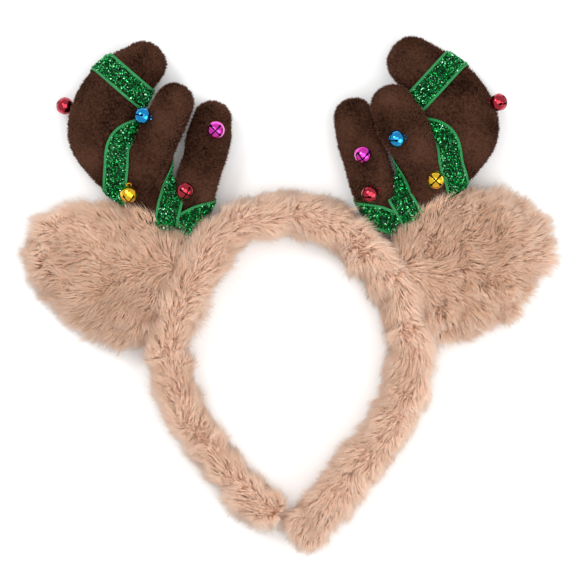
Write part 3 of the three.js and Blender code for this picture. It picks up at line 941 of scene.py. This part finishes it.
def inside(places, skin):
    """Which places lie inside a closed surface: straight up from them, they leave it first."""
    within = np.zeros(len(places), bool)
    for i, place in enumerate(places):
        _, normal, _, _ = skin.ray_cast(Vector(place), Vector((0, 0, 1)))
        within[i] = normal is not None and normal.z > 0
    return within


print("reach of a join in mm:", round(JOIN_REACH / MM))

# %% Grow the hairs of a form
HAIR_RADIUS = 0.14 * MM
HAIR_RADIUS_RANGE = (0.75, 1.2)
JOIN_LENGTH = 0.45
JOIN_PAINTED_LIGHT = 0.1
OVER_PLUSH = 2.0 * MM
OVER_REACH = 6.5 * MM
PLUSH_FROM = 15 * MM


def grow(names, places, facing, nap, level, coat, part, others, fingers, random):
    """Combs all hairs of a form and makes two pieces for each part of it, with no hair inside the others."""
    join = np.max([closeness(places, skin) for skin in others], axis=0)
    longer = 1 + JOIN_LENGTH * join
    # painted light: hairs near a join are painted paler, against the shade in the crease where ear and band
    # meet
    root, bend, tip, tone, under = comb(places, facing, nap, level + JOIN_PAINTED_LIGHT * join, longer, coat, random)
    near_plush = np.flatnonzero(places[:, 1] > PLUSH_FROM)
    for skin in fingers:
        for line in (tip, bend):
            line[near_plush] = laid_over(line[near_plush], skin, OVER_PLUSH, OVER_REACH)
        part[near_plush] = np.where(inside(bend[near_plush], skin), -1, part[near_plush])
    for skin in others:
        part = np.where(inside(bend, skin), -1, part)
    radius = HAIR_RADIUS * random.uniform(*HAIR_RADIUS_RANGE, len(places))
    turn = random.uniform(0, 2 * math.pi, len(places))
    for number, name in enumerate(names):
        a, b = ((part == number) & chosen for chosen in (~under, under))
        top = spindles(name, root[a], bend[a], tip[a], radius[a], tone[a], turn[a], fur_hair)
        below = cones(
            f"{name}_undercoat", root[b], facing[b], tip[b], radius[b], tone[b], turn[b], fur_hair
        )
        for piece in (top, below):
            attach(piece, "root")


padding = {node: skin_of(core) for node, core in cores.items()}
fingers = [skin for tines in skins.values() for skin in tines.values()]
print("surfaces that fur meets:", len(padding) + len(fingers))

# %% [markdown]
# ## Fur of the band
# The band's cover is one strip of fur, so its nap runs from one end to the other and leans a little
# outwards. It is tousled rather than combed, so its direction wanders by about a lock or two. A nap that
# ran straight out from the middle line would leave a dark parting along the band. The hairs are kept as
# three parts, the crown and the two arms, each with its undercoat.

# %% Nap of the band
NAP_LINE = band_line[::ROWS_BETWEEN, :2]
NAP_OUT = 0.15
NAP_OUT_FROM = 9 * MM
NAP_WANDER = 0.6
NAP_WANDER_LENGTH = 24 * MM


def band_nap(places, random):
    """Along the band from one end to the other, a little out from its middle line, and wandering."""
    starts, ends = NAP_LINE[:-1], NAP_LINE[1:]
    flat = places[:, None, :2]
    span = ends - starts
    share = np.clip(((flat - starts) * span).sum(2) / (span**2).sum(1), 0, 1)
    foot = starts + span * share[..., None]
    nearest = np.linalg.norm(flat - foot, axis=2).argmin(1)
    down = unit(span[nearest])
    out = flat[:, 0] - foot[np.arange(len(places)), nearest]
    out = out / np.maximum(np.linalg.norm(out, axis=1, keepdims=True), NAP_OUT_FROM)
    wander = np.stack([ripple(places, NAP_WANDER_LENGTH, random) for _ in "xy"], axis=1)
    way = down + out * NAP_OUT + wander * NAP_WANDER
    return np.column_stack([way, np.zeros(len(places))])


print("rows that the nap follows:", len(NAP_LINE))

# %% Band fur
BAND_HAIRS = 80000
BAND_SEED = 11
BAND_PARTS = ("band_fur_crown", "band_fur_left", "band_fur_right")
CROWN_REACH = 30 * MM
# the band's level is partly its own tone, partly painted light for the more light that its higher place
# catches
BAND_TONE_AND_PAINTED_LIGHT = 0.84
RIGHT_PAINTED_LIGHT = 0.12
RIGHT_REACH = 50 * MM

random = np.random.default_rng(BAND_SEED)
places, facing = spread(cores["band"], BAND_HAIRS, random)
arm = np.where(places[:, 0] < 0, 1, 2)
part = np.where(np.abs(places[:, 0]) + np.maximum(-places[:, 1], 0) < CROWN_REACH, 0, arm)
# painted light: the right arm is painted paler, against the shade that the lamps at the upper left leave
# there
level = BAND_TONE_AND_PAINTED_LIGHT + RIGHT_PAINTED_LIGHT * np.clip(places[:, 0] / RIGHT_REACH, -1, 1)
nap = band_nap(places, random)
ears = [padding["ear_left"], padding["ear_right"]]
grow(BAND_PARTS, places, facing, nap, level, "band", part, ears, fingers, random)
print("hairs of the band:", BAND_HAIRS)

# %% [markdown]
# ## Fur of the ears
# On an ear the nap fans out from where the ear is sewn to the band towards its rim, so the hairs stand
# out past the rim all round. The hairs are painted paler towards the rim and darker in the middle:
# painted light, for the light that comes through the hair tips at the rim.

# %% Ear fur
EAR_HAIRS = 32500
EAR_SPOTS = {
    # where the nap fans out from, the middle away from the painted rim light, its tone, seed
    "ear_left": ((-52 * MM, 12 * MM), (-80 * MM, 5 * MM), 0.24, 23),
    "ear_right": ((52 * MM, 12 * MM), (84 * MM, 10 * MM), 0.12, 37),
}
EAR_REACH = 40 * MM
EAR_RIM_PAINTED_LIGHT = 0.56
EAR_WANDER = 0.5
EAR_WANDER_LENGTH = 20 * MM

for ear, (root, middle, middle_tone, seed) in EAR_SPOTS.items():
    random = np.random.default_rng(seed)
    places, facing = spread(cores[ear], EAR_HAIRS, random)
    fan = places - np.array([*root, 0])
    fan[:, 2] = 0
    wander = np.stack([ripple(places, EAR_WANDER_LENGTH, random) for _ in "xy"], axis=1)
    nap = unit(fan) + np.column_stack([wander, np.zeros(EAR_HAIRS)]) * EAR_WANDER
    rim = np.clip(np.linalg.norm(places[:, :2] - middle, axis=1) / EAR_REACH, 0, 1)
    # painted light: paler towards the rim
    level = middle_tone + EAR_RIM_PAINTED_LIGHT * rim**2
    part = np.zeros(EAR_HAIRS)
    grow((f"{ear}_fur",), places, facing, nap, level, "ear", part, [padding["band"]], fingers, random)
    print("hairs of", ear, EAR_HAIRS)

# %% [markdown]
# ## Pile of the plush
# Plush is a knitted cloth with a pile of about a millimetre. A noise on smooth cloth would give its
# colour but not its soft edge against the light, so it gets short cones. They lean along the tine and
# wander, and towards the sides of a finger they are painted paler: a painted sheen, for the light that a
# pile catches at its edge.

# %% Short pile on the plush
PLUSH_HAIRS = 16000
PLUSH_SEEDS = {"left": 41, "right": 43}
PLUSH_LENGTH = 1.0 * MM
PLUSH_LENGTH_RANGE = (0.7, 1.15)
PLUSH_RADIUS = 0.23 * MM
PLUSH_RADIUS_RANGE = (0.8, 1.2)
PLUSH_SINKS = 0.15 * MM
PLUSH_LEAN = 0.6
LEAN_ALONG, LEAN_WANDER, LEAN_LOOSE = 0.5, 0.7, 0.25
LEAN_WANDER_LENGTH = 13 * MM
PLUSH_TONE = 0.38
BRUSHED = ((0.2, 24 * MM), (0.12, 8 * MM))
SIDE_PAINTED_SHEEN = 0.4
PLUSH_TONE_NOISE = 0.09

for side, plush in antlers.items():
    random = np.random.default_rng(PLUSH_SEEDS[side])
    places, facing = spread(plush, PLUSH_HAIRS, random)
    near = nearest_of(places, np.vstack([line[:, [0, 1, 4]] for line in lines[side].values()]))
    along = np.vstack([ways_along(line) for line in lines[side].values()])[near]
    along = np.column_stack([along, np.zeros(PLUSH_HAIRS)])
    wander = np.stack([ripple(places, LEAN_WANDER_LENGTH, random) for _ in "xyz"], axis=1)
    way = along * LEAN_ALONG + wander * LEAN_WANDER + random.normal(size=(PLUSH_HAIRS, 3)) * LEAN_LOOSE
    length = PLUSH_LENGTH * random.uniform(*PLUSH_LENGTH_RANGE, (PLUSH_HAIRS, 1))
    tips = places + unit(facing + way * PLUSH_LEAN) * length
    # painted sheen: hairs that face sideways are paler
    tone = PLUSH_TONE + SIDE_PAINTED_SHEEN * (1 - facing[:, 2])
    for height, wavelength in BRUSHED:
        tone = tone + height * ripple(places, wavelength, random)
    tone = np.clip(tone + random.normal(0, PLUSH_TONE_NOISE, PLUSH_HAIRS), *TONE_RANGE)
    turn = random.uniform(0, 2 * math.pi, PLUSH_HAIRS)
    radius = PLUSH_RADIUS * random.uniform(*PLUSH_RADIUS_RANGE, PLUSH_HAIRS)
    roots = places - facing * PLUSH_SINKS
    pile = cones(f"antler_{side}_pile", roots, facing, tips, radius, tone, turn, plush_hair)
    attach(pile, "root")

# %% [markdown]
# ## Ribbons
# Each ribbon is glitter cloth with satin edges, 11.5 mm wide, in two strips. A short one lies across the
# foot of the inner tine. A long one starts in the fur over the short one's end, passes the middle tine to
# the back, comes round the outer tine to the front, dives between the tines again and ends as a ring
# round the outer tine. A strip is cut flat, as a grid of its real size, and each row of the grid is then
# laid on the plush where its route says. Cloth thrown over the tines would slide off before it wound
# round them.

# %% Routes
RING_STOPS = [
    # tine, row along it, turn about it in degrees
    ("outer", 3.5, 0), ("outer", 4.3, -90), ("outer", 5, -180), ("outer", 5, -360), ("outer", 4.95, -430),
]
SHORT_STOPS = [("inner", 0.6, -80), ("inner", 0.3, 0), ("inner", 0.0, 75)]
LONG_STOPS = {
    "left": [
        ("palm", 1.15, 80), ("palm", 1.15, 50), ("middle", 1.3, 0), ("middle", 1.45, -62),
        ("outer", 1.15, 270), ("outer", 0.85, 180), ("outer", 1.65, 86), ("outer", 2.6, 50), *RING_STOPS,
    ],
    "right": [
        ("palm", 1.25, 80), ("palm", 1.32, 50), ("middle", 1.65, 0), ("middle", 1.8, -62),
        ("outer", 1.15, 270), ("outer", 0.75, 180), ("outer", 1.45, 88), ("outer", 2.5, 50), *RING_STOPS,
    ],
}
TURN_STEP = 10
LEAST_STEPS = 3
BRIDGE_STEPS = 8


def stop_on(side, tine, along, turn):
    """Where a ribbon's middle meets a tine: a number of rows along it and a turn about it."""
    line = lines[side][tine]
    at = min(round(along * ROWS_BETWEEN), len(line) - 1)
    ahead = ways_along(line)[at]
    about = math.radians(turn)
    mirrored = (side == "left") == (tine == "palm")
    across = Vector((ahead[1], -ahead[0], 0)) * (-1 if mirrored else 1)
    aim = across * math.cos(about) + Vector((0, 0, math.sin(about)))
    place, normal, _, _ = skins[side][tine].ray_cast(Vector(line[at, [0, 1, 4]]), aim)
    return None if place is None else (*place, *normal)


def route_points(side, stops):
    """Places on the plush along a route, and the way the plush faces there. A gap stays None."""
    found = []
    for (tine, along, turn), (next_tine, next_along, next_turn) in zip(stops, stops[1:]):
        if tine != next_tine:
            found += [stop_on(side, tine, along, turn), *[None] * BRIDGE_STEPS]
            continue
        steps = max(LEAST_STEPS, round(abs(next_turn - turn) / TURN_STEP))
        for share in np.arange(steps) / steps:
            between = along + (next_along - along) * share, turn + (next_turn - turn) * share
            found.append(stop_on(side, tine, *between))
    return [*found, stop_on(side, *stops[-1])]


print("stops of the left ribbon:", len(SHORT_STOPS) + len(LONG_STOPS["left"]))

# %% Rows of a strip
RIBBON_STEP = 1.0 * MM
TAIL_DIP = 0.45 * MM
EASINGS = 6


def filled(rows):
    """Straight lines across the gaps of a list."""
    known = [i for i, row in enumerate(rows) if row is not None]
    table = np.array([rows[i] for i in known])
    return rows_at(np.arange(known[0], known[-1] + 1), known, table)


def evenly(rows):
    """The same path with rows a fixed step apart, its corners eased."""
    for _ in range(EASINGS):
        rows[1:-1] = rows[1:-1] * 0.5 + (rows[:-2] + rows[2:]) * 0.25
    travelled = lengths_along(rows[:, :3])
    return rows_at(np.linspace(0, travelled[-1], round(travelled[-1] / RIBBON_STEP)), travelled, rows)


def run_on(rows, count):
    """The same path with some more rows on from its last one, dipping into the fur."""
    ahead = np.zeros(6)
    ahead[:3] = (rows[-1, :3] - rows[-4, :3]) / 3
    ahead[2] = -TAIL_DIP
    return np.vstack([rows, rows[-1] + ahead * np.arange(1, count + 1)[:, None]])


print("rows of a ribbon are apart, in mm:", round(RIBBON_STEP / MM, 1))

# %% Lay a strip
RIBBON_WIDTH = 11.5 * MM
RIBBON_COLUMNS = 18
RIBBON_LIFT = 1.3 * MM
START_LENGTH = 15 * MM
TUCKED = 2.0 * MM


def laid_strip(name, side, stops, over, before, after):
    """A flat grid whose rows are moved to a route. Its map keeps the flat sizes."""
    rows = evenly(filled(route_points(side, stops)))
    rows = run_on(run_on(rows, after)[::-1], before)[::-1]
    facing = unit(rows[:, 3:])
    from_start = np.arange(len(rows)) * RIBBON_STEP / START_LENGTH
    middle = rows[:, :3] + facing * (RIBBON_LIFT + over * np.exp(-(from_start**2)))[:, None]
    across = unit(np.cross(unit(np.gradient(middle, axis=0)), facing))
    length = RIBBON_STEP * (len(rows) - 1)
    bpy.ops.mesh.primitive_grid_add(x_subdivisions=RIBBON_COLUMNS, y_subdivisions=len(rows) - 1, size=1)
    strip = bpy.context.object
    strip.name = name
    flat = points_of(strip)
    corners = np.empty(len(strip.data.loops), np.int64)
    strip.data.loops.foreach_get("vertex_index", corners)
    sizes = (flat[corners, :2] + 0.5) * (RIBBON_WIDTH, length)
    strip.data.uv_layers.new(name="cut").uv.foreach_set("vector", sizes.astype(np.float32).ravel())
    at = np.round((flat[:, 1] + 0.5) * (len(rows) - 1)).astype(int)
    move_points(strip, middle[at] + across[at] * flat[:, :1] * RIBBON_WIDTH)
    return strip, length


def rest_on(strip, skin):
    """Lifts the points that would just sink into the plush. What lies deeper is tucked behind a finger."""
    places = points_of(strip)
    for i, place in enumerate(places):
        near, normal, _, _ = skin.find_nearest(Vector(place))
        height = (Vector(place) - near).dot(normal)
        if -TUCKED < height < RIBBON_LIFT:
            places[i] += np.array(normal) * (RIBBON_LIFT - height)
    move_points(strip, places)


print("lift of a ribbon off the plush in mm:", round(RIBBON_LIFT / MM, 1))

# %% Lay the ribbons
STRIPS = {
    # rise of its start over the other strip, rows run on at its start and its end, tines it is lifted over
    "short": (0.0, 0, 9, ("palm", "inner")),
    "long": (0.7 * MM, 12, 0, ("palm",)),
}
PALM_REACH = 6 * MM

ribbons = {}
for side in LONG_STOPS:
    strips, total = [], 0.0
    for kind, (over, before, after, tines) in STRIPS.items():
        stops = SHORT_STOPS if kind == "short" else LONG_STOPS[side]
        strip, length = laid_strip(f"ribbon_{side}_{kind}", side, stops, over, before, after)
        rest_on(strip, skins[side]["outer"])
        shape_with(strip, "SMOOTH", factor=0.4, iterations=2)
        rest_on(strip, skins[side]["outer"])
        for tine in tines:
            lifted = laid_over(points_of(strip), skins[side][tine], RIBBON_LIFT + over, PALM_REACH)
            move_points(strip, lifted)
        strips.append(strip)
        total += length
    pick(strips[0])
    strips[1].select_set(True)
    bpy.ops.object.join()
    ribbon = bpy.context.object
    ribbon.name = f"ribbon_{side}_cloth"
    ribbons[side] = (ribbon, total)
    print(ribbon.name, "length in mm:", round(total / MM), "points:", len(ribbon.data.vertices))

# %% [markdown]
# ## Satin edges and glitter
# The edges are woven with the cloth, so they are faces of the same piece with a finish of their own. The
# glitter covers what lies between them. Its flakes are flat cones with sharp edges, tipped a little this
# way and that, so that each one mirrors another part of the room.

# %% Faces of satin, and the cloth without them
SATIN_WIDTH = 1.3 * MM


def satin_faces(ribbon):
    """Which faces of a ribbon lie along its edges."""
    cut = np.empty(len(ribbon.data.loops) * 2, np.float32)
    ribbon.data.uv_layers["cut"].uv.foreach_get("vector", cut)
    middle_of_face = cut.reshape(-1, 4, 2)[:, :, 0].mean(1)
    return np.minimum(middle_of_face, RIBBON_WIDTH - middle_of_face) < SATIN_WIDTH


def copy_without(piece, faces):
    """A copy of a piece that lacks some of its faces."""
    rest = piece.copy()
    rest.data = piece.data.copy()
    bpy.context.scene.collection.objects.link(rest)
    pick(rest)
    bpy.ops.object.mode_set(mode="EDIT")
    bpy.ops.mesh.select_all(action="DESELECT")
    bpy.ops.object.mode_set(mode="OBJECT")
    rest.data.polygons.foreach_set("select", faces)
    bpy.ops.object.mode_set(mode="EDIT")
    bpy.ops.mesh.delete(type="FACE")
    bpy.ops.object.mode_set(mode="OBJECT")
    return rest


print("satin faces:", {side: int(satin_faces(ribbon).sum()) for side, (ribbon, _) in ribbons.items()})

# %% Finish the ribbons
RIBBON_THICKNESS = 0.45 * MM
RIBBON_SHARP = math.radians(40)
FLAKES = 8500
FLAKE_SEEDS = {"left": 61, "right": 67}
FLAKE_RADIUS = 0.4 * MM
FLAKE_RADIUS_RANGE = (0.75, 1.2)
FLAKE_RISE = 0.26 * MM
FLAKE_TIP = 0.22 * MM
FLAKE_SINKS = 0.03 * MM
FLAKE_TONES = (0.35, 0.75)

for side, (ribbon, length) in ribbons.items():
    random = np.random.default_rng(FLAKE_SEEDS[side])
    for finish in (backing, satin):
        ribbon.data.materials.append(finish)
    is_satin = satin_faces(ribbon)
    ribbon.data.polygons.foreach_set("material_index", is_satin.astype(np.int32))
    middle = copy_without(ribbon, is_satin)
    places, facing = spread(middle, FLAKES, random)
    bpy.data.objects.remove(middle)
    shape_with(ribbon, "SOLIDIFY", thickness=RIBBON_THICKNESS, offset=-1.0)
    pick(ribbon)
    bpy.ops.object.shade_smooth_by_angle(angle=RIBBON_SHARP)
    tips = places + facing * FLAKE_RISE + random.normal(size=(FLAKES, 3)) * FLAKE_TIP
    radius = FLAKE_RADIUS * random.uniform(*FLAKE_RADIUS_RANGE, FLAKES)
    tone = np.clip(random.beta(*FLAKE_TONES, FLAKES), *TONE_RANGE)
    turn = random.uniform(0, 2 * math.pi, FLAKES)
    roots = places - facing * FLAKE_SINKS
    flakes = cones(f"ribbon_{side}_glitter", roots, facing, tips, radius, tone, turn, glitter, smooth=False)
    for piece in (ribbon, flakes):
        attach(piece, "root")
    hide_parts(f"ribbon_{side}")

# %% [markdown]
# ## Bells
# A small bell is a hollow metal ball pressed from two halves, with a cross of two slits at its foot and
# a wire loop at its crown. It is modelled once, with its loop along +Y, from a sphere that gets a wall,
# a ridge at its middle and the slits cut through. Painted slits would stay flat when the bell turns.

# %% The slits
BELL_RADIUS = 4.0 * MM
SLIT_WIDTH = 0.65 * MM
SLIT_REACH = 2.9 * MM
SLIT_DEPTH = 3.4 * MM
SLIT_HOLE = 0.6 * MM
SLIT_HOLE_DEPTH = 5 * MM
SLIT_HOLE_SIDES = 16


def carve(piece, operation, other):
    """Adds another shape to a piece or takes it away, and removes the other shape."""
    shape_with(piece, "BOOLEAN", operation=operation, object=other, solver="EXACT")
    bpy.data.objects.remove(other)


def slit_cutter(turn):
    """A bar with a round hole at each end, across the foot of the bell."""
    bpy.ops.mesh.primitive_cube_add(size=1, location=(0, -BELL_RADIUS, 0))
    bar = bpy.context.object
    bar.scale = (2 * SLIT_REACH, SLIT_DEPTH, SLIT_WIDTH)
    bpy.ops.object.transform_apply(location=True, rotation=False, scale=True)
    for end in (-1, 1):
        bpy.ops.mesh.primitive_cylinder_add(
            radius=SLIT_HOLE, depth=SLIT_HOLE_DEPTH, vertices=SLIT_HOLE_SIDES,
            location=(end * SLIT_REACH, -BELL_RADIUS, 0), rotation=(math.pi / 2, 0, 0),
        )
        carve(bar, "UNION", bpy.context.object)
    bar.data.transform(Matrix.Rotation(turn, 4, "Y"))
    return bar


print("slit in mm:", round(2 * SLIT_REACH / MM, 1), "by", round(SLIT_WIDTH / MM, 2))

# %% The ball
BELL_SIDES = 28
BELL_RINGS = 16
BELL_WALL = 0.45 * MM
BELL_INSIDE_FROM = 0.6 * BELL_WALL
BELL_SHARP = math.radians(35)
RIDGE_REACH = 0.2 * MM
RIDGE_WIDTH = 0.22 * MM
RIDGE_SPREAD = 1.035
LOOP_RADIUS = 1.1 * MM
LOOP_WIRE = 0.3 * MM
LOOP_STAND = 0.75 * MM


def ridged_ball():
    """A ball round +Y with a raised ridge where its halves meet."""
    bpy.ops.mesh.primitive_uv_sphere_add(
        segments=BELL_SIDES, ring_count=BELL_RINGS, radius=BELL_RADIUS, rotation=(math.pi / 2, 0, 0)
    )
    ball = bpy.context.object
    bpy.ops.object.transform_apply(location=False, rotation=True, scale=False)
    bpy.ops.object.mode_set(mode="EDIT")
    bpy.ops.mesh.select_all(action="DESELECT")
    bpy.ops.object.mode_set(mode="OBJECT")
    for vertex in ball.data.vertices:
        vertex.select = abs(vertex.co.y) < RIDGE_REACH
    bpy.ops.object.mode_set(mode="EDIT")
    bpy.ops.mesh.bevel(offset=RIDGE_WIDTH, segments=2, affect="EDGES")
    bpy.ops.transform.resize(value=(RIDGE_SPREAD, 1.0, RIDGE_SPREAD))
    bpy.ops.object.mode_set(mode="OBJECT")
    return ball


def model_bell():
    """The ball with its wall, slits and loop, metal outside and dark painted shade inside."""
    ball = ridged_ball()
    shape_with(ball, "SOLIDIFY", thickness=BELL_WALL, offset=-1.0)
    for turn in (math.pi / 4, -math.pi / 4):
        carve(ball, "DIFFERENCE", slit_cutter(turn))
    bpy.ops.mesh.primitive_torus_add(
        major_radius=LOOP_RADIUS, minor_radius=LOOP_WIRE, major_segments=16, minor_segments=6,
        location=(0, BELL_RADIUS + LOOP_STAND, 0),
    )
    loop = bpy.context.object
    bpy.ops.object.transform_apply(location=True, rotation=False, scale=False)
    carve(ball, "UNION", loop)
    pick(ball)
    bpy.ops.object.shade_smooth_by_angle(angle=BELL_SHARP)
    ball.data.materials.clear()
    for finish in (bell_metal["red"], bell_painted_shade):
        ball.data.materials.append(finish)
    # faces of the inside get the dark painted shade
    for face in ball.data.polygons:
        face.material_index = int(face.center.length < BELL_RADIUS - BELL_INSIDE_FROM)
    return ball


pattern_bell = model_bell()
print("triangles in a bell:", sum(len(p.vertices) - 2 for p in pattern_bell.data.polygons))

# %% [markdown]
# ## Ten bells
# Each bell is a copy with its own mesh, turned as its solid is. A bell's box is its ball with the loop
# standing out of it, so the ball's middle lies one radius in from the sides that the loop points away
# from. The shared mesh could be turned by each object instead, but every finished piece has to sit at
# the origin with its place in its own mesh.

# %% Place the bells
BELLS = {
    # finish, where its loop points in the plane of the headband, how far it dips behind that plane
    "bell_left_1": ("red", 0, -10),
    "bell_left_2": ("blue", -10, 38),
    "bell_left_3": ("pink", 90, 84),
    "bell_left_4": ("gold", 90, 30),
    "bell_left_5": ("red", 120, 62),
    "bell_right_1": ("red", 172, 30),
    "bell_right_2": ("blue", 15, 38),
    "bell_right_3": ("pink", 80, 58),
    "bell_right_4": ("gold", 100, 84),
    "bell_right_5": ("red", 25, 30),
}

for node, (metal, towards, dip) in BELLS.items():
    towards, dip = math.radians(towards), math.radians(dip)
    reach = math.cos(dip)
    loop_way = Vector((reach * math.cos(towards), reach * math.sin(towards), -math.sin(dip)))
    low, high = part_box(node)
    middle = Vector(low[i] + BELL_RADIUS if loop_way[i] > 0 else high[i] - BELL_RADIUS for i in range(3))
    bell = pattern_bell.copy()
    bell.data = pattern_bell.data.copy()
    bell.name = f"{node}_metal"
    bpy.context.scene.collection.objects.link(bell)
    turned = Vector((0, 1, 0)).rotation_difference(loop_way).to_matrix().to_4x4()
    bell.data.transform(Matrix.Translation(middle) @ turned)
    bell.data.materials[0] = bell_metal[metal]
    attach(bell, "root")
    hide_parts(node)
bpy.data.objects.remove(pattern_bell)
print("bells:", len(BELLS))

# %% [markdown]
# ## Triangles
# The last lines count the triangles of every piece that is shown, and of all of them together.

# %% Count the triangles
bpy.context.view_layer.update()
shown = [o for o in bpy.data.objects if o.type == "MESH" and not o.hide_render and o != floor]
triangles = {o.name: sum(len(p.vertices) - 2 for p in o.data.polygons) for o in shown}
print("triangles in all:", sum(triangles.values()), "most in a piece:", max(triangles.values()))
